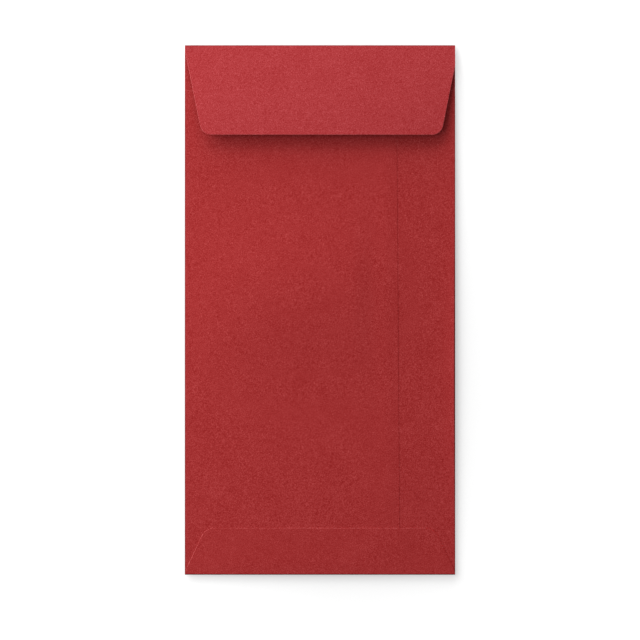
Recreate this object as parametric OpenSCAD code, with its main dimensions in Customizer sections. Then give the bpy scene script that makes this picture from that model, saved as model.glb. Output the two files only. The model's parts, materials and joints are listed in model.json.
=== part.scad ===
// Open-end pocket envelope: one die-cut sheet, folded on four creases and glued on two lines.
// It lies on its address face with the seal flap on top. X runs across the envelope, Y runs up
// to the flap fold, and Z rises from the address face. The origin is under its middle.

/* [Paper] */
// Thickness of the paper
paper = 0.12; // [0.10:0.01:0.25]
// Thickness of a dried adhesive film
film = 0.03; // [0.02:0.01:0.05]

/* [Pocket] */
// Width across the two side folds
pocket_w = 120; // [100:1:150]
// Height from the bottom fold to the flap fold
pocket_h = 235; // [200:1:330]
// Clear space that the springy side folds keep between front and back
loft = 0.6; // [0.4:0.1:1.5]
// Depth of the throat below the flap fold
throat_d = 20; // [8:0.1:30]

/* [Back seam] */
// Width of the back panel at the throat
back_w_top = 93.9; // [75:0.1:95]
// Width of the back panel at its foot, where the seam has drifted outwards
back_w_foot = 95.4; // [75:0.1:96]
// How far the seam tab runs under the back panel
overlap = 12; // [8:0.5:16]
// Width of the glue line in the seam
seam_glue_w = 8; // [4:0.5:8]
// Corner clipped off each end of the seam tab
tab_clip = 4; // [2:0.5:8]

/* [Bottom flap] */
// Height of the bottom flap above the bottom fold
foot_h = 20.7; // [15:0.1:30]
// Height at which its slanted ends leave the side folds
foot_shoulder = 1.3; // [1:0.1:5]
// Slant of its ends from upright
foot_slant = 25.4; // [10:0.1:35]
// Radius of its two corners
foot_corner = 5.8; // [2:0.1:8]

/* [Seal flap] */
// Depth of the seal flap below its fold
flap_h = 40.1; // [30:0.1:50]
// Depth at which its slanted ends leave the side folds
flap_shoulder = 5.5; // [4:0.1:10]
// Slant of its ends from upright
flap_slant = 11.5; // [5:0.1:20]
// Radius of its two corners
flap_corner = 5; // [2:0.1:8]
// How far the die has set the flap off to the right
flap_shift = 0.7; // [-0.7:0.1:0.7]
// Inner radius of its sharp crease
flap_bend = 0.04; // [0.02:0.01:0.2]
// Height at which the free edge stands over the back panel
flap_lift = 3.2; // [1.5:0.1:8]
// Rise of the flap's bow over its chord
flap_bow = 0.25; // [0.1:0.05:0.6]
// Width of the gum line along the free edge
gum_w = 8; // [5:0.5:12]

/* [Hidden] */

paper_red = [0.66, 0.21, 0.22];
crease_red = [0.60, 0.18, 0.19];
glue_cream = [0.90, 0.86, 0.74];

// Room left over the throat when the flap is pressed shut
shut_gap = 0.1;
// Room between the foot of the back and the bottom crease
foot_gap = 0.2;
// Margin of bare paper around an adhesive film
glue_margin = 3;
// Height of the glue film under the bottom flap
foot_glue_h = 10;
// Flat steps that make up one rounded corner
corner_steps = 12;
$fn = 360;

// Undersides of the layers, from the table up
tab_z = paper + loft;
back_z = tab_z + paper + film;
foot_z = back_z + paper + film;
back_top = back_z + paper;

// Outer radius of each glued crease, which wraps from the front panel up to its own layer,
// and of the seal flap's crease, which is pressed sharp
left_r = back_top / 2;
right_r = (tab_z + paper) / 2;
foot_r = (foot_z + paper) / 2;
flap_r = flap_bend + paper;

half_w = pocket_w / 2;
half_h = pocket_h / 2;
left_x = -half_w + left_r;
right_x = half_w - right_r;
foot_y = -half_h + foot_r;
hinge_y = half_h - flap_r;
throat_y = half_h - throat_d;
back_foot_y = foot_y + foot_gap;

// The flap bows on a large radius. Its angle at the crease lifts its free edge over the back panel,
// and pressed shut it comes down on the throat.
flap_l = flap_h - flap_r;
bow_r = flap_l * flap_l / (8 * flap_bow);
root_z = flap_r + flap_bend;
function bow_drop(length) = length * length / (2 * bow_r);
function rise_angle(length, height) = asin((back_top + height - root_z + bow_drop(length)) / length);
flap_angle = rise_angle(flap_l, flap_lift);
shut_angle = rise_angle(hinge_y - throat_y, shut_gap);

echo(hinge_y = hinge_y, hinge_z = flap_r, opens = 180 - flap_angle, shuts = shut_angle - flap_angle);

// Right-hand edge of the back panel, which drifts outwards towards its foot
function seam_x(y) =
    -half_w + back_w_top + (back_w_foot - back_w_top) * (throat_y - y) / (throat_y - foot_y);

function unit(v) = v / norm(v);

// Points of an arc of radius r that rounds corner p, between its neighbours a and b
function rounded(a, p, b, r) =
    let (u = unit(a - p),
         v = unit(b - p),
         half = acos(u * v) / 2,
         centre = p + unit(u + v) * r / sin(half),
         first = p + u * r / tan(half) - centre,
         start = atan2(first.y, first.x),
         turn = (180 - 2 * half) * sign(cross(p - a, b - p)))
    [for (i = [0 : corner_steps])
        let (t = start + turn * i / corner_steps)
        centre + r * [cos(t), sin(t)]];

// Tongue that hangs from a fold along y = 0: slanted ends, a straight free edge and two round
// corners. At the fold it is wider than the sheet, which clips it. An inset draws it smaller.
module tongue(depth, shoulder, slant, corner, inset = 0) {
    free_y = inset - depth;
    fold_half = half_w + shoulder * tan(slant) - inset / cos(slant);
    free_half = fold_half + free_y * tan(slant);
    left = rounded([-fold_half, 0], [-free_half, free_y], [free_half, free_y], corner);
    right = [for (i = [len(left) - 1 : -1 : 0]) [-left[i].x, left[i].y]];
    polygon(concat([[-fold_half, 0]], left, right, [[fold_half, 0]]));
}

// Strip of the sheet between its two edges, less a margin on each, from one height to another
module sheet_strip(low, high, margin = 0) {
    translate([-half_w + margin, low]) square([pocket_w - 2 * margin, high - low]);
}

// Section through a crease: a band of paper around the origin, from straight down round +x
module crease_section(r, sweep = 180) {
    fan = [for (i = [0 : 4]) let (t = -90 + sweep * i / 4) 2 * r * [cos(t), sin(t)]];
    intersection() {
        difference() {
            circle(r);
            circle(r - paper);
        }
        polygon(concat([[0, 0]], fan));
    }
}

// Side crease along Y, with its bend towards +X, from the foot up to the throat
module side_crease(r) {
    translate([0, throat_y, r])
        rotate([90, 0, 0])
            linear_extrude(throat_y - foot_y)
                crease_section(r);
}

// Cross crease along X over the full width, with its bend towards +Y
module cross_crease(r, sweep = 180) {
    translate([-half_w, 0, r])
        rotate([90, 0, 90])
            linear_extrude(pocket_w)
                crease_section(r, sweep);
}

module front_panel() {
    color(paper_red)
        linear_extrude(paper)
            polygon([[left_x, foot_y], [right_x, foot_y], [right_x, throat_y], [half_w, throat_y],
                     [half_w, hinge_y], [-half_w, hinge_y], [-half_w, throat_y], [left_x, throat_y]]);
}

module left_crease() {
    color(crease_red)
        translate([left_x, 0, 0])
            mirror([1, 0, 0])
                side_crease(left_r);
}

module right_crease() {
    color(crease_red)
        translate([right_x, 0, 0])
            side_crease(right_r);
}

module back_panel() {
    color(paper_red)
        translate([0, 0, back_z])
            linear_extrude(paper)
                polygon([[left_x, back_foot_y], [seam_x(back_foot_y), back_foot_y],
                         [seam_x(throat_y), throat_y], [left_x, throat_y]]);
}

module seam_tab() {
    low = back_foot_y;
    color(paper_red)
        translate([0, 0, tab_z])
            linear_extrude(paper)
                polygon([[right_x, low], [right_x, throat_y],
                         [seam_x(throat_y) - overlap + tab_clip, throat_y],
                         [seam_x(throat_y) - overlap, throat_y - tab_clip],
                         [seam_x(low) - overlap, low + tab_clip],
                         [seam_x(low) - overlap + tab_clip, low]]);
}

module seam_glue() {
    low = back_foot_y + tab_clip;
    high = throat_y - tab_clip;
    side = (overlap - seam_glue_w) / 2;
    color(glue_cream)
        translate([0, 0, back_z - film])
            linear_extrude(film)
                polygon([[seam_x(low) - side, low], [seam_x(high) - side, high],
                         [seam_x(high) - side - seam_glue_w, high],
                         [seam_x(low) - side - seam_glue_w, low]]);
}

module bottom_crease() {
    color(crease_red)
        translate([0, foot_y, 0])
            mirror([0, 1, 0])
                cross_crease(foot_r);
}

// Outline of the bottom flap in place, between two heights, less a margin around its edges
module foot_outline(low, high, margin = 0) {
    intersection() {
        translate([0, -half_h])
            mirror([0, 1])
                tongue(foot_h, foot_shoulder, foot_slant, foot_corner, margin);
        sheet_strip(low, high, margin);
    }
}

module bottom_flap() {
    color(paper_red)
        translate([0, 0, foot_z])
            linear_extrude(paper)
                foot_outline(foot_y, -half_h + foot_h);
}

// The film is thin on the back panel, and beyond the seam it takes up the step down to the tab
module bottom_glue() {
    high = -half_h + foot_h - glue_margin;
    low = high - foot_glue_h;
    color(glue_cream) {
        translate([0, 0, foot_z - film])
            linear_extrude(film)
                intersection() {
                    foot_outline(low, high, glue_margin);
                    polygon([[-half_w, low], [seam_x(low) - film, low],
                             [seam_x(high) - film, high], [-half_w, high]]);
                }
        translate([0, 0, tab_z + paper])
            linear_extrude(foot_z - tab_z - paper)
                intersection() {
                    foot_outline(low, high, glue_margin);
                    polygon([[seam_x(low) + film, low], [half_w, low],
                             [half_w, high], [seam_x(high) + film, high]]);
                }
    }
}

module flap_crease() {
    color(crease_red)
        translate([0, hinge_y, 0])
            cross_crease(flap_r, 180 - flap_angle);
}

// Puts a flap piece, drawn level about the fold's axis, at the angle where it stands
module on_hinge() {
    translate([0, hinge_y, flap_r])
        rotate([-flap_angle, 0, 0])
            children();
}

// Bowed sheet that leaves the fold level and curves down, from one depth below its face to another
module bowed_sheet(top, bottom) {
    translate([-half_w, 0, flap_r - bow_r])
        rotate([90, 0, 90])
            linear_extrude(pocket_w)
                intersection() {
                    difference() {
                        circle(bow_r - top);
                        circle(bow_r - bottom);
                    }
                    translate([-2 * flap_h, 0]) square([2 * flap_h, 2 * bow_r]);
                }
}

// Upright prism over the flap's outline, with the fold's outer line one radius past the axis,
// from one depth below the axis to another
module flap_prism(low, high, margin = 0) {
    translate([0, 0, -flap_h])
        linear_extrude(2 * flap_h)
            intersection() {
                translate([flap_shift, flap_r])
                    tongue(flap_h, flap_shoulder, flap_slant, flap_corner, margin);
                sheet_strip(low, high, margin);
            }
}

module seal_flap() {
    color(paper_red)
        on_hinge()
            intersection() {
                bowed_sheet(0, paper);
                flap_prism(-flap_l, 0);
            }
}

module flap_gum() {
    low = glue_margin - flap_l;
    color(glue_cream)
        on_hinge()
            intersection() {
                bowed_sheet(paper, paper + film);
                flap_prism(low, low + gum_w, glue_margin);
            }
}

front_panel();
left_crease();
right_crease();
back_panel();
seam_tab();
seam_glue();
bottom_crease();
bottom_flap();
bottom_glue();
flap_crease();
seal_flap();
flap_gum();
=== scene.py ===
"""Red paper pocket envelope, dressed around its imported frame.

Each sheet is a mesh with real thickness and rounded cut edges, the folds are pressed tight, and the
back swells softly as an empty pocket's does. Lengths are in metres, and angles in radians.
"""
import json
import math
from collections import namedtuple

import bpy
import numpy as np
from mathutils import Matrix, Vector

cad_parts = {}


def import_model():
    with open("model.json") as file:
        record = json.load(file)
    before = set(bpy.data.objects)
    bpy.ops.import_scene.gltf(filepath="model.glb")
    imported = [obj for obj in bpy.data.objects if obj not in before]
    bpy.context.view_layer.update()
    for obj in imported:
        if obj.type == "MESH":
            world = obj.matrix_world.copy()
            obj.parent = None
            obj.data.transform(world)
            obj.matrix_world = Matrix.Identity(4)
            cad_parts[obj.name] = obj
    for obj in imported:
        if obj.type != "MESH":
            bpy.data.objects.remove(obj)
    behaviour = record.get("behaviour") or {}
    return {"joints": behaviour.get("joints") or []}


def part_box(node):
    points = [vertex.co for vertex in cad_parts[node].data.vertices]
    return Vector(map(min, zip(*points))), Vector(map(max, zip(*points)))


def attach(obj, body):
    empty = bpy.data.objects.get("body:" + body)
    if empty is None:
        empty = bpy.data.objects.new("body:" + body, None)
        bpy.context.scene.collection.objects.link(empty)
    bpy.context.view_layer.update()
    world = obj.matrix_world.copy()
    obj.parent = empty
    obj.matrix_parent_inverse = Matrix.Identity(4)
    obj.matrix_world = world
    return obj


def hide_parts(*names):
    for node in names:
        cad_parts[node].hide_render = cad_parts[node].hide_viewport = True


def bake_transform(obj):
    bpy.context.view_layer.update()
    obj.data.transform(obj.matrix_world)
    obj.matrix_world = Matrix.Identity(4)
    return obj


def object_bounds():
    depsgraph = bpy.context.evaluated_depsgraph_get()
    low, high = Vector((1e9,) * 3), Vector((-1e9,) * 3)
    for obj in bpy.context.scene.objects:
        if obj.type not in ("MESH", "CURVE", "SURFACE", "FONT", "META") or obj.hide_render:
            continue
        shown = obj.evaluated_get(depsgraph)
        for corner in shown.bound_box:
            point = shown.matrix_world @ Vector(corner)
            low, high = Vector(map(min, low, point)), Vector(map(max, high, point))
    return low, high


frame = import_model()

MM = 0.001
cad_low, cad_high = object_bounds()
LEFT, FOOT, TABLE = cad_low
RIGHT = cad_high[0]
HALF_W = (RIGHT - LEFT) / 2
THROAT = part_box("back_panel")[1].y
joint = next(j for j in frame["joints"] if j["name"] == "flap_fold")
HINGE_Y, HINGE_Z = joint["pos_m"][1:]
FLAP_ANGLE = math.radians(180 - joint["range_deg"][1])


def thickness(node):
    """Thickness of a flat node."""
    low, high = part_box(node)
    return high.z - low.z


# Paper and adhesive films, and how much of its thickness rounds each corner of a cut edge
PAPER = thickness("front_panel")
FILM = thickness("seam_glue")
STEP = PAPER + FILM
CUT_ROUND = 0.48

# Outer radius of each fold as it is pressed
SIDE_R = 0.20 * MM
FLAP_R = HINGE_Z
LAP_R = SIDE_R + STEP

# Back seam: its place at the foot and its drift, the tab under it with the glue in the middle of
# the overlap, the tab's clipped corners, and the gap between the panels and the bottom crease
SEAM_FOOT_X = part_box("back_panel")[1].x
SEAM_DRIFT = 1.5 * MM
OVERLAP = 12 * MM
SEAM_GLUE_W = 8 * MM
BARE_EDGE = (OVERLAP - SEAM_GLUE_W) / 2
TAB_CLIP = 4 * MM
FOOT_GAP = 0.2 * MM

# Tongues that hang from a fold. The slant of their sides starts at the shoulder
Tongue = namedtuple("Tongue", "depth shoulder slant corner")
BOTTOM_TONGUE = Tongue(20.7 * MM, 1.3 * MM, math.radians(25.4), 5.8 * MM)
SEAL_TONGUE = Tongue(40.1 * MM, 5.5 * MM, math.radians(11.5), 5 * MM)

# Seal flap: how far right it is set, its bow, the droop of its right end, and the curl of its left
# edge with the width that this takes
SEAL_SHIFT = 0.7 * MM
FLAP_L = SEAL_TONGUE.depth - FLAP_R
FLAP_BOW = 0.25 * MM
BOW_R = FLAP_L ** 2 / (8 * FLAP_BOW)
FLAP_DROOP = 0.8 * MM
FLAP_CURL = 0.5 * MM
CURL_W = 14 * MM

# Films under both tongues: their distance from the tongue's edges, and how far they reach inwards
GLUE_MARGIN = 3 * MM
FOOT_GLUE_H = 10 * MM
GUM_W = 8 * MM

# Swell of the back: its height, how far it leans left, where up the pocket it is fullest and
# over what length it dies out, the share that stays all along, and its rise from the foot
SWELL = 1.48 * MM
SWELL_LEAN = 0.78
SWELL_Y = 8.2 * MM
SWELL_L = 32.8 * MM
SWELL_REST = 0.087
FOOT_RISE = 4.2 * MM

# Shelf in the swell: its share of the height, how far from the seam it starts to come down, and
# over what distance
SHELF = 0.31
SHELF_AT = 21 * MM
SHELF_RUN = 11 * MM

# Distances from the seam between which the back panel steps up on to the tab, the height, place
# and width of the low crest over the glue, and the length in which the bottom flap comes down
# from its fold on to the panels
RIDE_RUN = 24.6 * MM
RIDE_END = 10 * MM
CREST = 0.11 * MM
CREST_AT = 4.4 * MM
CREST_W = 3.2 * MM
LAP_RUN = 14 * MM

# Lift of the springy right fold, most a little below the middle of its length: its height, its
# width, its place and its length
LIP = 0.6 * MM
LIP_W = 4.2 * MM
LIP_Y = -28.6 * MM
LIP_L = 60 * MM

# Hairline between the front and the flap when the flap lies open
FOLD_SLIT = 0.02 * MM

# Mesh: spacing of its lines, distance of the line that holds the shading at a cut edge, steps round
# a fold and round the corner of a cut edge, columns of the whole width, the tab and both glue films,
# and the angle from which an edge is sharp
GRID = 2.5 * MM
HOLD = 0.1 * MM
ARC_STEPS = 10
CORNER_STEPS = 5
FULL_COLUMNS = round((RIGHT - LEFT) / GRID)
TAB_COLUMNS = 14
SEAM_GLUE_COLUMNS = 5
FOOT_GLUE_COLUMNS = 40
SHARP_ANGLE = math.radians(60)


# Surfaces

def smooth(t):
    """Smooth step from 0 to 1 while t goes from 0 to 1."""
    t = np.clip(t, 0, 1)
    return t * t * (3 - 2 * t)


def seam_x(y):
    """Right-hand edge of the back panel, which drifts outwards towards its foot."""
    return SEAM_FOOT_X - SEAM_DRIFT * (y - FOOT) / (THROAT - FOOT)


def leaning_arch(u):
    """Arch over the width, 0 at both folds, that leans to the left one."""
    u = np.clip(u, 0, 1)
    return np.sin(np.pi * u) * (1 - u) ** SWELL_LEAN


ARCH_SAMPLES = 201
ARCH_TOP = leaning_arch(np.linspace(0, 1, ARCH_SAMPLES)).max()


def shelf(x, y):
    """Ramp from 0 at the left fold to 1 near the seam, where it comes down to 0 again."""
    top = seam_x(y) - SHELF_AT
    return np.clip((x - LEFT) / (top - LEFT), 0, 1) * (1 - smooth((x - top) / SHELF_RUN))


def swell(x, y):
    """Height that an empty pocket's back swells over its folds."""
    arch = leaning_arch((x - LEFT - SIDE_R) / (RIGHT - LEFT - 2 * SIDE_R)) / ARCH_TOP
    across = arch + SHELF * shelf(x, y)
    rise = 1 - np.exp(-np.maximum(y - FOOT - LAP_R, 0) / FOOT_RISE)
    along = SWELL_REST + (1 - SWELL_REST) * np.exp(-((y - SWELL_Y) / SWELL_L) ** 2)
    return SWELL * across * rise * along


def fold_lift(y):
    """Height by which the right fold springs up beyond a tight one."""
    return LIP * np.exp(-((y - LIP_Y) / LIP_L) ** 2)


def left_radius(y):
    """Outer radius of the left fold, pressed tight all along."""
    return np.full(np.shape(y), SIDE_R)


def right_radius(y):
    """Outer radius of the right fold."""
    return SIDE_R + fold_lift(y) / 2


def base_z(x, y):
    """Middle of a sheet that lies on the pocket's bare swell, lifted near the right fold."""
    fold_x = RIGHT - right_radius(y)
    lip = fold_lift(y) * np.exp(np.minimum(x - fold_x, 0) / LIP_W)
    return 2 * SIDE_R - PAPER / 2 + swell(x, y) + lip


def crest(x, y):
    """Low crest over the glued seam, which ends above the bottom flap."""
    clear = smooth((y - FOOT - BOTTOM_TONGUE.depth) / BOTTOM_TONGUE.depth)
    return CREST * clear * np.exp(-((seam_x(y) - x - CREST_AT) / CREST_W) ** 2)


def ride(x, y):
    """How much of a sheet's step up on to the tab is done, 1 over the tab."""
    return smooth((RIDE_RUN - seam_x(y) + x) / (RIDE_RUN - RIDE_END))


def tab_z(x, y):
    """Middle of the seam tab."""
    return base_z(x, y) + crest(x, y)


def back_z(x, y):
    """Middle of the back panel, which rides up over the tab and comes down on it at its edge."""
    pressed = FILM * smooth(1 - (seam_x(y) - x) / BARE_EDGE)
    return base_z(x, y) + crest(x, y) + STEP * ride(x, y) - pressed


def lap_z(x, y):
    """Middle of the bottom flap, which comes down from its fold on to the panels and the seam."""
    over_seam = ride(x, y) * (1 - smooth((x - seam_x(y)) / RIDE_END))
    down = smooth((y - FOOT) / LAP_RUN)
    lying = base_z(x, y) + STEP + STEP * over_seam
    at_fold = 2 * LAP_R - PAPER / 2 + swell(x, y)
    return at_fold + (lying - at_fold) * down


def on_flap(x, depth, below):
    """Point of the seal flap at a depth from the fold's axis and a distance below its face."""
    turn = depth / BOW_R
    reach = (BOW_R - below) * np.sin(turn)
    bowed = FLAP_R - BOW_R + (BOW_R - below) * np.cos(turn)
    down = depth / FLAP_L
    to_right = np.maximum(x, 0) / HALF_W
    to_left = np.maximum(LEFT + CURL_W - x, 0) / CURL_W
    droop = FLAP_DROOP * to_right ** 2 * down ** 1.5
    curl = FLAP_CURL * to_left ** 2 * down ** 0.5
    height = bowed - droop - curl
    y = HINGE_Y - reach * math.cos(FLAP_ANGLE) + height * math.sin(FLAP_ANGLE)
    z = HINGE_Z + reach * math.sin(FLAP_ANGLE) + height * math.cos(FLAP_ANGLE)
    return np.stack([x, y, z], axis=-1)


# Grids

def lines(low, high):
    """Grid lines from low to high, with one close to each end."""
    inner = np.linspace(low + HOLD, high - HOLD, max(2, round((high - low) / GRID)))
    return np.concatenate([[low], inner, [high]])


def span(left, right, count):
    """Rows of grid lines between two edges that change from row to row."""
    share = np.linspace(0, 1, count)
    inner = left[:, None] + HOLD + (right - left - 2 * HOLD)[:, None] * share
    return np.concatenate([left[:, None], inner, right[:, None]], axis=1)


def tongue_rows(tongue, first, inset=0.0):
    """Depths of a tongue's rows from a first one to its free edge, and its half width at each."""
    depth, shoulder, slant, corner = tongue
    free = depth - inset
    fold_half = HALF_W + shoulder * math.tan(slant) - inset / math.cos(slant)
    centre = free - corner
    centre_x = fold_half - centre * math.tan(slant) - corner / math.cos(slant)
    turn = np.linspace(slant, math.pi / 2, ARC_STEPS)
    leave = centre + corner * math.sin(slant)
    straight = lines(first, leave)[:-2]
    depths = np.concatenate([straight, centre + corner * np.sin(turn)])
    halves = np.concatenate([fold_half - straight * math.tan(slant),
                             centre_x + corner * np.cos(turn)])
    return depths, halves


def layer(x, y, height):
    """Grid of points over rows y, at a height that depends on both."""
    y = np.broadcast_to(y[:, None], x.shape)
    return np.stack([x, y, height(x, y)], axis=-1)


# Meshes

# Least length that a vector is divided by
TINY = 1e-12


def outline_of(rows, columns):
    """Row and column of each grid point round the border, counter-clockwise."""
    bottom = [(0, j) for j in range(columns - 1)]
    right = [(i, columns - 1) for i in range(rows - 1)]
    top = [(rows - 1, j) for j in range(columns - 1, 0, -1)]
    left = [(i, 0) for i in range(rows - 1, 0, -1)]
    return bottom + right + top + left


def cut_sides(rows, columns, cut, cut_from):
    """Material of each stretch of the border, or None where it isn't cut.

    The left and right sides are cut from a given row on.
    """
    across = [True] * (columns - 1)
    up = [i >= cut_from for i in range(rows - 1)]
    stretches = {"bottom": across, "right": up, "top": across, "left": up[::-1]}
    return [cut.get(name) if flag else None for name, flags in stretches.items() for flag in flags]


def unit(v):
    """Vectors scaled to length one. A zero vector stays zero."""
    length = np.linalg.norm(v, axis=-1, keepdims=True)
    return v / np.maximum(length, TINY)


def edge_profile(thick):
    """Steps round a cut edge from the upper face to the lower, as distances outwards and up."""
    half = thick / 2
    radius = CUT_ROUND * thick
    bend = np.linspace(0, math.pi / 2, CORNER_STEPS)
    upper = [(radius * (math.sin(t) - 1), half - radius * (1 - math.cos(t))) for t in bend]
    return upper + [(out, -high) for out, high in reversed(upper)]


def grid_faces(rows, columns):
    """Faces of an upper grid and of the lower one whose points follow it."""
    count = rows * columns
    faces = []
    for i in range(rows - 1):
        for j in range(columns - 1):
            corner = i * columns + j
            quad = (corner, corner + 1, corner + columns + 1, corner + columns)
            faces.append(quad)
            faces.append(tuple(count + k for k in reversed(quad)))
    return faces


def smooth_mesh(name, points, faces, looks):
    """Smooth mesh with a material for each of its faces."""
    mesh = bpy.data.meshes.new(name)
    mesh.from_pydata(points.tolist(), [], faces)
    materials = list(dict.fromkeys(looks))
    for material in materials:
        mesh.materials.append(material)
    for polygon, look in zip(mesh.polygons, looks):
        polygon.use_smooth = True
        polygon.material_index = materials.index(look)
    mesh.validate()
    mesh.set_sharp_from_angle(angle=SHARP_ANGLE)
    return mesh


def new_object(name, data):
    """Object in the scene with the given mesh, lamp or camera."""
    made = bpy.data.objects.new(name, data)
    bpy.context.scene.collection.objects.link(made)
    return made


def sheet(name, middle, thick, face, cut=None, cut_from=0):
    """Closed sheet around a grid of middle points. Its cut sides, each with a material, are rounded."""
    rows, columns = middle.shape[:2]
    count = rows * columns
    normal = unit(np.cross(np.gradient(middle, axis=1), np.gradient(middle, axis=0)))
    border = outline_of(rows, columns)
    edges = cut_sides(rows, columns, cut or {}, cut_from)

    # Directions out of the cut sides, in the sheet's own plane
    index = tuple(np.array(border).T)
    point, up = middle[index], normal[index]
    edge = unit(np.roll(point, -1, axis=0) - point)
    away = unit(np.cross(edge, up)) * np.array([[e is not None] for e in edges])
    away = unit(away + np.roll(away, 1, axis=0))

    # Points of both faces, and of the rings round the edge between them
    profile = edge_profile(thick)
    rim, half = profile[0]
    inner = middle.copy()
    inner[index] = point + away * rim
    points = [(inner + normal * half).reshape(-1, 3), (inner - normal * half).reshape(-1, 3)]
    rings = [[i * columns + j for i, j in border]]
    start = 2 * count
    for out, high in profile[1:-1]:
        points.append(point + away * out + up * high)
        rings.append(range(start, start + len(border)))
        start += len(border)
    rings.append([count + k for k in rings[0]])

    # Both faces, and a band between each two rings
    faces = grid_faces(rows, columns)
    looks = [face] * len(faces)
    for upper, lower in zip(rings, rings[1:]):
        for k, look in enumerate(edges):
            after = (k + 1) % len(border)
            faces.append((upper[k], lower[k], lower[after], upper[after]))
            looks.append(look or face)
    return new_object(name, smooth_mesh(name, np.concatenate(points), faces, looks))


def dress(piece, node, body):
    """Makes the piece stand for a CAD node and ride on its body."""
    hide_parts(node)
    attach(piece, body)


# Shader nodes

# Weight of each finer octave of a noise against the one before
NOISE_ROUGHNESS = 0.6


def new_node(tree, kind, links=(), **values):
    """New shader node with the given input values and links into it."""
    node = tree.nodes.new(kind)
    for name, value in values.items():
        node.inputs[name.replace("_", " ")].default_value = value
    for name, source in links:
        tree.links.new(source, node.inputs[name])
    return node


def maths(tree, operation, *operands, clamp=False):
    """Math node over numbers and sockets."""
    node = tree.nodes.new("ShaderNodeMath")
    node.operation = operation
    node.use_clamp = clamp
    for k, operand in enumerate(operands):
        if isinstance(operand, (int, float)):
            node.inputs[k].default_value = operand
        else:
            tree.links.new(operand, node.inputs[k])
    return node.outputs[0]


def new_material(name):
    """Node material with a plain Principled shader, its tree, and the place on the object."""
    material = bpy.data.materials.new(name)
    material.use_nodes = True
    tree = material.node_tree
    place = new_node(tree, "ShaderNodeTexCoord").outputs["Object"]
    return material, tree, tree.nodes["Principled BSDF"], place


def noise(tree, place, scale, detail):
    """Cloudy noise with a number of features to the metre."""
    node = new_node(tree, "ShaderNodeTexNoise", [("Vector", place)],
                    Scale=scale, Detail=detail, Roughness=NOISE_ROUGHNESS)
    return node.outputs["Fac"]


def stretched_noise(tree, place, across, along):
    """Noise with a number of features to the metre across the envelope, and another along it."""
    mapping = new_node(tree, "ShaderNodeMapping", [("Vector", place)], Scale=(across, along, across))
    return noise(tree, mapping.outputs[0], 1.0, detail=2.0)


def ramp(tree, tone, *colours):
    """Colour that runs evenly through the given ones as the tone goes from 0 to 1."""
    node = tree.nodes.new("ShaderNodeValToRGB")
    stops = node.color_ramp.elements
    while len(stops) < len(colours):
        stops.new(0.5)
    for k, colour in enumerate(colours):
        stops[k].position = k / (len(colours) - 1)
        stops[k].color = (*colour, 1)
    tree.links.new(tone, node.inputs[0])
    return node.outputs[0]


def relieve(tree, shader, height, strength, depth):
    """Relief of a pattern on the shader's surface. The depth is that of a step from 0 to 1 in it."""
    bump = new_node(tree, "ShaderNodeBump", [("Height", height)], Strength=strength, Distance=depth)
    tree.links.new(bump.outputs[0], shader.inputs["Normal"])


# Paper material

# Darkest and palest fibres against the middle tone of their paper
DARK_FIBRE = (0.69, 0.30, 0.30)
PALE_FIBRE = (1.34, 2.16, 2.16)

# Features to the metre of each pattern of the paper
GRAIN_SCALE = 3000.0
MOTTLE_SCALE = 420.0
CLOUD_SCALE = 70.0
FIBRE_SCALE = 480.0
FLECK_SCALE = 120.0

# How strongly each pattern shows in the paper's tone
GRAIN = 1.85
MOTTLE = 0.03
CLOUDS = 0.22
FIBRES = 0.14
FLECKS = 0.6

# Slimness of fibres and flecks, the pattern that breaks fibres up, and how far the pattern of the
# sunk fibres is shifted from that of the proud ones
FIBRE_SLIM = 14.0
FLECK_SLIM = 25.0
BREAK_SCALE = 700.0
BREAK_GAIN = 6.0
SUNK_SHIFT = (0.31, 0.17, 0.05)

# Depth of the relief, the fibres' part in it, roughness at the foot and top of the grain, and sheen
RELIEF = 0.022 * MM
FIBRE_RELIEF = 0.4
ROUGH_LOW = 0.7
ROUGH_HIGH = 0.9
SHEEN = 0.02


def curly_fibres(tree, place, shift):
    """Short curly strokes from 0 to 1: the contour of one noise, broken up by another."""
    moved = new_node(tree, "ShaderNodeMapping", [("Vector", place)], Location=shift).outputs[0]
    hills = noise(tree, moved, FIBRE_SCALE, detail=1.0)
    off_contour = maths(tree, "ABSOLUTE", maths(tree, "SUBTRACT", hills, 0.5))
    stroke = maths(tree, "MULTIPLY_ADD", off_contour, -FIBRE_SLIM, 1.0, clamp=True)
    breaks = noise(tree, moved, BREAK_SCALE, detail=1.0)
    whole = maths(tree, "MULTIPLY_ADD", breaks, BREAK_GAIN, (1 - BREAK_GAIN) / 2, clamp=True)
    return maths(tree, "MULTIPLY", stroke, whole)


def pale_flecks(tree, place):
    """Few small specks from 0 to 1, where an undyed fibre lies at the surface."""
    cells = new_node(tree, "ShaderNodeTexVoronoi", [("Vector", place)], Scale=FLECK_SCALE)
    cells.voronoi_dimensions = "2D"
    return maths(tree, "MULTIPLY_ADD", cells.outputs["Distance"], -FLECK_SLIM, 1.0, clamp=True)


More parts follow.
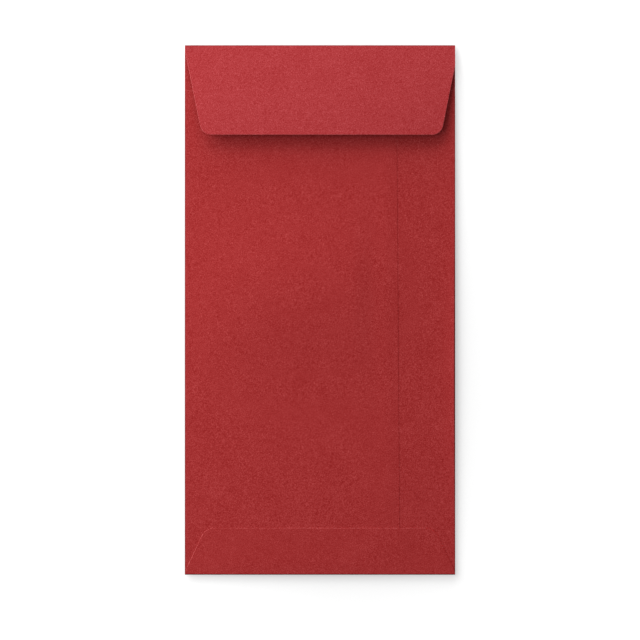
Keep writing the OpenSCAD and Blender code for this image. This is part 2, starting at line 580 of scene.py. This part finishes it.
def paper_material(name, middle, contrast=1.0):
    """Uncoated paper, dyed through: fine grain, curly fibres, flecks and a faint cloudy formation."""
    material, tree, shader, place = new_material(name)
    dark = [a * (1 + contrast * (b - 1)) for a, b in zip(middle, DARK_FIBRE)]
    pale = [a * (1 + contrast * (b - 1)) for a, b in zip(middle, PALE_FIBRE)]
    grain = noise(tree, place, GRAIN_SCALE, detail=1.0)
    mottle = noise(tree, place, MOTTLE_SCALE, detail=3.0)
    clouds = noise(tree, place, CLOUD_SCALE, detail=3.0)
    proud = curly_fibres(tree, place, (0.0, 0.0, 0.0))
    sunk = curly_fibres(tree, place, SUNK_SHIFT)
    fibres = maths(tree, "SUBTRACT", proud, sunk)
    flecks = pale_flecks(tree, place)

    tone = 0.5
    for pattern, centre, weight in ((grain, 0.5, GRAIN), (fibres, 0.0, FIBRES), (flecks, 0.0, FLECKS),
                                    (mottle, 0.5, MOTTLE), (clouds, 0.5, CLOUDS)):
        tone = maths(tree, "MULTIPLY_ADD", maths(tree, "SUBTRACT", pattern, centre), weight, tone)
    tree.links.new(ramp(tree, tone, dark, middle, pale), shader.inputs["Base Color"])

    relieve(tree, shader, maths(tree, "MULTIPLY_ADD", fibres, FIBRE_RELIEF, grain), 1.0, RELIEF)
    rough = maths(tree, "MULTIPLY_ADD", grain, ROUGH_HIGH - ROUGH_LOW, ROUGH_LOW)
    tree.links.new(rough, shader.inputs["Roughness"])
    shader.inputs["Specular IOR Level"].default_value = SHEEN
    return material


# Adhesive materials

# Paste: darkest and palest tone, streaks to the metre across and along, roughness, and the depth and
# strength of its relief
GLUE_TONES = ((0.62, 0.54, 0.37), (0.80, 0.74, 0.58))
GLUE_STREAKS = (1500.0, 90.0)
GLUE_ROUGH = 0.6
GLUE_RELIEF = 0.02 * MM
GLUE_BUMP = 0.6

# Gum: darkest and palest tone, ripples to the metre across and along, cells of its crazing to the
# metre and their part in the relief, roughness, sheen, and the depth and strength of the relief
GUM_TONES = ((0.25, 0.008, 0.008), (0.33, 0.018, 0.016))
GUM_RIPPLES = (160.0, 900.0)
CRAZE_SCALE = 700.0
CRAZE_RELIEF = 0.3
GUM_ROUGH = 0.5
GUM_SHEEN = 0.1
GUM_RELIEF = 0.015 * MM
GUM_BUMP = 0.5


def glue_material():
    """Dried cream paste, streaked where the roller laid it."""
    material, tree, shader, place = new_material("dried_glue")
    streaks = stretched_noise(tree, place, *GLUE_STREAKS)
    tree.links.new(ramp(tree, streaks, *GLUE_TONES), shader.inputs["Base Color"])
    shader.inputs["Roughness"].default_value = GLUE_ROUGH
    relieve(tree, shader, streaks, GLUE_BUMP, GLUE_RELIEF)
    return material


def gum_material():
    """Dried remoistening gum: a glossy clear film, finely crazed, over the red paper."""
    material, tree, shader, place = new_material("gum")
    ripple = stretched_noise(tree, place, *GUM_RIPPLES)
    craze = new_node(tree, "ShaderNodeTexVoronoi", [("Vector", place)], Scale=CRAZE_SCALE)
    tree.links.new(ramp(tree, ripple, *GUM_TONES), shader.inputs["Base Color"])
    shader.inputs["Roughness"].default_value = GUM_ROUGH
    shader.inputs["Specular IOR Level"].default_value = GUM_SHEEN
    relief = maths(tree, "MULTIPLY_ADD", craze.outputs["Distance"], CRAZE_RELIEF, ripple)
    relieve(tree, shader, relief, GUM_BUMP, GUM_RELIEF)
    return material


# Paper of the pocket, the flap's plainer copy painted paler as a sheen, folds painted darker as shade,
# and cut edges with pale fibres painted paler still as a highlight: deep red as painted shade on the
# seam and the bottom flap's right side, and palest as a painted highlight on the tongues' left sides
PAPER_RED = paper_material("paper", (0.3585, 0.0297, 0.0300))
# Painted sheen: the flap is the same paper, coloured paler for the light that it catches
PAPER_PAINTED_SHEEN = paper_material("paper_flap", (0.366, 0.0355, 0.0391), contrast=0.9)
# Painted shade: the folds are coloured darker so that their rims, which catch the lamps, read dark
PAPER_SHADED_FOLD = paper_material("paper_fold", (0.155, 0.011, 0.011))
# Painted shade: deep red cut edges for the sides that lie in shade
PAPER_EDGE_SHADE = paper_material("paper_crisp", (0.56, 0.012, 0.012))
# Cut edges: pale undyed fibres, painted paler still as the highlight along their rims
PAPER_EDGE_FIBRES_AND_HIGHLIGHT = paper_material("paper_cut", (0.56, 0.110, 0.110))
# Painted highlight: palest cut edges, over their pale fibres, for the sides that face the light
PAPER_EDGE_STRONG_HIGHLIGHT = paper_material("paper_frayed", (0.70, 0.160, 0.160))
GLUE = glue_material()
GUM = gum_material()


# Pieces of the pocket

def front_panel():
    """Flat front, with two lugs beside the throat where it is as wide as the envelope."""
    low = lines(FOOT + LAP_R, THROAT)
    high = lines(THROAT + PAPER / 2, HINGE_Y - FOLD_SLIT)
    y = np.concatenate([low, high])
    left = np.concatenate([LEFT + left_radius(low), np.full(len(high), LEFT)])
    right = np.concatenate([RIGHT - right_radius(low), np.full(len(high), RIGHT)])
    x = span(left, right, FULL_COLUMNS)
    middle = layer(x, y, lambda x, y: np.full(x.shape, PAPER / 2))
    lugs = {"left": PAPER_EDGE_FIBRES_AND_HIGHLIGHT, "right": PAPER_EDGE_FIBRES_AND_HIGHLIGHT}
    piece = sheet("front_panel", middle, PAPER, PAPER_RED, lugs, len(low))
    dress(piece, "front_panel", "pocket")


def side_crease(name, fold, radius, side):
    """Fold along a side, from the bottom crease up to the throat, at a radius for each height."""
    y = lines(FOOT + LAP_R, THROAT)[:, None]
    turn = side * np.linspace(math.pi / 2, -math.pi / 2, ARC_STEPS)
    outer = radius(y)
    x = fold + side * ((outer - PAPER / 2) * np.cos(turn) - outer)
    z = outer + (outer - PAPER / 2) * np.sin(turn)
    middle = np.stack([x, np.broadcast_to(y, x.shape), z], axis=-1)
    # The fold is painted darker as shade, and its cut end is pale with a painted highlight
    dress(sheet(name, middle, PAPER, PAPER_SHADED_FOLD, {"top": PAPER_EDGE_FIBRES_AND_HIGHLIGHT}), name, "pocket")


def cross_crease(name, centre, radius, start, stop, side):
    """Fold across the whole width. Its grid turns from one angle to another."""
    turn = np.linspace(start, stop, ARC_STEPS)[:, None]
    x = lines(LEFT, RIGHT)
    y = centre + side * (radius - PAPER / 2) * np.cos(turn)
    z = radius + (radius - PAPER / 2) * np.sin(turn)
    shape = (ARC_STEPS, len(x))
    middle = np.stack([np.broadcast_to(part, shape) for part in (x, y, z)], axis=-1)
    # The fold is painted darker as shade, and its cut ends are pale with a painted highlight
    return sheet(name, middle, PAPER, PAPER_SHADED_FOLD, {"left": PAPER_EDGE_FIBRES_AND_HIGHLIGHT, "right": PAPER_EDGE_FIBRES_AND_HIGHLIGHT})


def bottom_crease():
    """Fold along the foot, up to the bottom flap."""
    piece = cross_crease("bottom_crease", FOOT + LAP_R, LAP_R, -math.pi / 2, math.pi / 2, -1)
    dress(piece, "bottom_crease", "pocket")


def back_panel():
    """Back panel from the left fold to the seam."""
    y = lines(FOOT + LAP_R + FOOT_GAP, THROAT)
    x = span(LEFT + left_radius(y), seam_x(y), round((SEAM_FOOT_X - LEFT) / GRID))
    # Painted shade on the right cut edge at the seam; the other cut edges are pale fibres with a
    # painted highlight
    cut = {"right": PAPER_EDGE_SHADE, "top": PAPER_EDGE_FIBRES_AND_HIGHLIGHT, "bottom": PAPER_EDGE_FIBRES_AND_HIGHLIGHT}
    piece = sheet("back_panel", layer(x, y, back_z), PAPER, PAPER_RED, cut)
    dress(piece, "back_panel", "pocket")


def seam_tab():
    """Tab from the right fold to under the back panel, with its inner corners clipped."""
    low, high = FOOT + LAP_R + FOOT_GAP, THROAT
    y = lines(low, high)
    clip = np.maximum(0, TAB_CLIP - np.minimum(y - low, high - y))
    x = span(seam_x(y) - OVERLAP + clip, RIGHT - right_radius(y), TAB_COLUMNS)
    cut = {"left": PAPER_EDGE_FIBRES_AND_HIGHLIGHT, "top": PAPER_EDGE_FIBRES_AND_HIGHLIGHT, "bottom": PAPER_EDGE_FIBRES_AND_HIGHLIGHT}
    piece = sheet("seam_tab", layer(x, y, tab_z), PAPER, PAPER_RED, cut)
    dress(piece, "seam_tab", "pocket")


def seam_glue():
    """Glue line between the tab and the back panel."""
    y = lines(FOOT + LAP_R + FOOT_GAP + TAB_CLIP, THROAT - TAB_CLIP)
    edge = seam_x(y) - BARE_EDGE
    x = span(edge - SEAM_GLUE_W, edge, SEAM_GLUE_COLUMNS)
    middle = layer(x, y, lambda x, y: back_z(x, y) - STEP / 2)
    dress(sheet("seam_glue", middle, FILM, GLUE), "seam_glue", "pocket")


def bottom_flap():
    """Flap folded up over the foot of the back and the seam."""
    depths, halves = tongue_rows(BOTTOM_TONGUE, LAP_R)
    x = span(np.maximum(-halves, LEFT), np.minimum(halves, RIGHT), FULL_COLUMNS)
    # Painted highlight on the left cut edge, painted shade on the right one
    cut = {"left": PAPER_EDGE_STRONG_HIGHLIGHT, "right": PAPER_EDGE_SHADE, "top": PAPER_EDGE_FIBRES_AND_HIGHLIGHT}
    piece = sheet("bottom_flap", layer(x, FOOT + depths, lap_z), PAPER, PAPER_RED, cut)
    dress(piece, "bottom_flap", "pocket")


def bottom_glue():
    """Glue film under the bottom flap."""
    first = BOTTOM_TONGUE.depth - GLUE_MARGIN - FOOT_GLUE_H
    depths, halves = tongue_rows(BOTTOM_TONGUE, first, GLUE_MARGIN)
    left = np.maximum(-halves, LEFT + GLUE_MARGIN)
    right = np.minimum(halves, RIGHT - GLUE_MARGIN)
    x = span(left, right, FOOT_GLUE_COLUMNS)
    middle = layer(x, FOOT + depths, lambda x, y: lap_z(x, y) - STEP / 2)
    dress(sheet("bottom_glue", middle, FILM, GLUE), "bottom_glue", "pocket")


# Seal flap

def flap_grid(first, below, inset=0.0):
    """Grid of the seal flap from a first depth to its free edge, its free edge first."""
    depths, halves = tongue_rows(SEAL_TONGUE, first + FLAP_R, inset)
    depths, halves = depths[::-1] - FLAP_R, halves[::-1]
    left = np.maximum(SEAL_SHIFT - halves, LEFT + inset)
    right = np.minimum(SEAL_SHIFT + halves, RIGHT - inset)
    x = span(left, right, FULL_COLUMNS)
    return on_flap(x, np.broadcast_to(depths[:, None], x.shape), below)


def seal_flap():
    """Flap that stands a little open over the throat."""
    # Painted highlight on the left cut edge; the face is the flap's paper with a painted sheen
    cut = {"left": PAPER_EDGE_STRONG_HIGHLIGHT, "right": PAPER_EDGE_FIBRES_AND_HIGHLIGHT, "bottom": PAPER_EDGE_FIBRES_AND_HIGHLIGHT}
    piece = sheet("seal_flap", flap_grid(0.0, PAPER / 2), PAPER, PAPER_PAINTED_SHEEN, cut)
    dress(piece, "seal_flap", "flap")


def flap_gum():
    """Gum line along the flap's free edge, on its underside."""
    first = FLAP_L - GLUE_MARGIN - GUM_W
    piece = sheet("flap_gum", flap_grid(first, PAPER + FILM / 2, GLUE_MARGIN), FILM, GUM)
    dress(piece, "flap_gum", "flap")


def flap_crease():
    """Sharp crease round the flap's fold, at the angle at which the flap stands open."""
    piece = cross_crease("flap_crease", HINGE_Y, FLAP_R, math.pi / 2 - FLAP_ANGLE, -math.pi / 2, 1)
    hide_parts("flap_crease")
    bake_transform(piece)


front_panel()
side_crease("left_crease", LEFT, left_radius, -1)
side_crease("right_crease", RIGHT, right_radius, 1)
back_panel()
seam_tab()
seam_glue()
bottom_crease()
bottom_flap()
bottom_glue()
seal_flap()
flap_gum()
flap_crease()


# Stage, light and camera

# Lamps: azimuth from the left towards the head, elevation, distance and size, and the share of the
# plain level that each gives at the middle of the envelope. The rest is even fill
Lamp = namedtuple("Lamp", "azimuth elevation distance width height share")
KEY_LAMP = Lamp(math.radians(63.8), math.radians(15.8), 1.205, 2.2, 0.771, 0.407)
SIDE_LAMP = Lamp(math.radians(10), math.radians(41.2), 0.525, 0.558, 0.441, 0.331)
FILL_SHARE = 1 - KEY_LAMP.share - SIDE_LAMP.share

# Points each way over a lamp at which its light is summed up
LAMP_GRID = 24

# Floor: its half width, how far it lies below the paper, which is springy and touches it only in
# places, its grey, and the glow that lifts it to white. The glow grows from the envelope outwards,
# over distances in which lengths along Y count less, as the envelope is long
FLOOR_HALF = 3.0
FLOOR_DROP = 1.2 * MM
FLOOR_GREY = 0.62
FLOOR_GLOW = 0.405
GLOW_NEAR = 55 * MM
GLOW_FAR = 250 * MM
GLOW_SQUASH = 0.6

# Camera: width of the picture and its middle, which lies a little below the envelope's. The lens
# and the sensor are in millimetres
FRAME_W = 284.1 * MM
FRAME_Y = -4.45 * MM
LENS = 200
SENSOR = 36


def seen_rays(tree):
    """1 where the camera sees a surface, by itself or in a reflection or through glass."""
    rays = new_node(tree, "ShaderNodeLightPath").outputs
    seen = maths(tree, "MAXIMUM", rays["Is Camera Ray"], rays["Is Glossy Ray"])
    return maths(tree, "MAXIMUM", seen, rays["Is Transmission Ray"])


def floor_material():
    """Pale matt floor that keeps the shadow and shows white to the camera and in reflections."""
    material, tree, shader, place = new_material("floor")
    shader.inputs["Base Color"].default_value = (FLOOR_GREY, FLOOR_GREY, FLOOR_GREY, 1)
    shader.inputs["Roughness"].default_value = 1.0
    shader.inputs["Specular IOR Level"].default_value = 0.0
    squashed = new_node(tree, "ShaderNodeMapping", [("Vector", place)], Scale=(1, GLOW_SQUASH, 1))
    away = tree.nodes.new("ShaderNodeVectorMath")
    away.operation = "LENGTH"
    tree.links.new(squashed.outputs[0], away.inputs[0])
    glow = new_node(tree, "ShaderNodeMapRange", [("Value", away.outputs["Value"])],
                    From_Min=GLOW_NEAR, From_Max=GLOW_FAR, To_Min=FLOOR_GLOW, To_Max=1.0)
    strength = maths(tree, "MULTIPLY", glow.outputs[0], seen_rays(tree))
    light = new_node(tree, "ShaderNodeEmission", [("Strength", strength)])
    both = tree.nodes.new("ShaderNodeAddShader")
    tree.links.new(shader.outputs[0], both.inputs[0])
    tree.links.new(light.outputs[0], both.inputs[1])
    tree.links.new(both.outputs[0], tree.nodes["Material Output"].inputs["Surface"])
    return material


def floor():
    """Floor under the envelope, which belongs to the stage."""
    mesh = bpy.data.meshes.new("floor")
    corners = [(x * FLOOR_HALF, y * FLOOR_HALF, TABLE - FLOOR_DROP)
               for x, y in ((-1, -1), (1, -1), (1, 1), (-1, 1))]
    mesh.from_pydata(corners, [], [(0, 1, 2, 3)])
    mesh.materials.append(floor_material())
    piece = new_object("floor", mesh)


def world():
    """Even fill light, seen as white."""
    made = bpy.data.worlds.new("studio")
    bpy.context.scene.world = made
    made.use_nodes = True
    tree = made.node_tree
    strength = maths(tree, "MULTIPLY_ADD", seen_rays(tree), 1 - FILL_SHARE, FILL_SHARE)
    background = tree.nodes["Background"]
    background.inputs["Color"].default_value = (1, 1, 1, 1)
    tree.links.new(strength, background.inputs["Strength"])


def lamp(name, azimuth, elevation, distance, width, height, share):
    """Broad lamp that faces the envelope, at the power that gives its share of the plain level.

    At the plain level a white sheet looks white: it receives pi, and a lamp's power counts 1 / pi.
    """
    level = Vector((-math.cos(azimuth), math.sin(azimuth), 0))
    way = level * math.cos(elevation) + Vector((0, 0, math.sin(elevation)))
    rise = Vector((0, 0, math.cos(elevation))) - level * math.sin(elevation)
    side = way.cross(rise)
    steps = [(k + 0.5) / LAMP_GRID - 0.5 for k in range(LAMP_GRID)]
    spots = [way * distance + side * width * a + rise * height * b for a in steps for b in steps]
    received = sum(max(s.z, 0) * s.dot(way) / s.length ** 4 for s in spots) / len(spots)
    light = bpy.data.lights.new(name, "AREA")
    light.shape = "RECTANGLE"
    light.size = width
    light.size_y = height
    light.energy = share * math.pi ** 2 / received
    piece = new_object(name, light)
    piece.location = way * distance
    piece.rotation_mode = "QUATERNION"
    piece.rotation_quaternion = way.to_track_quat("Z", "Y")
    piece.visible_camera = False


def camera():
    """Camera that looks straight down, framed as the picture is."""
    lens = bpy.data.cameras.new("camera")
    lens.lens = LENS
    lens.sensor_width = SENSOR
    piece = new_object("camera", lens)
    piece.location = (0, FRAME_Y, FRAME_W * LENS / SENSOR)
    bpy.context.scene.camera = piece


floor()
world()
lamp("key", *KEY_LAMP)
lamp("side", *SIDE_LAMP)
camera()
bpy.context.scene.view_settings.view_transform = "Standard"
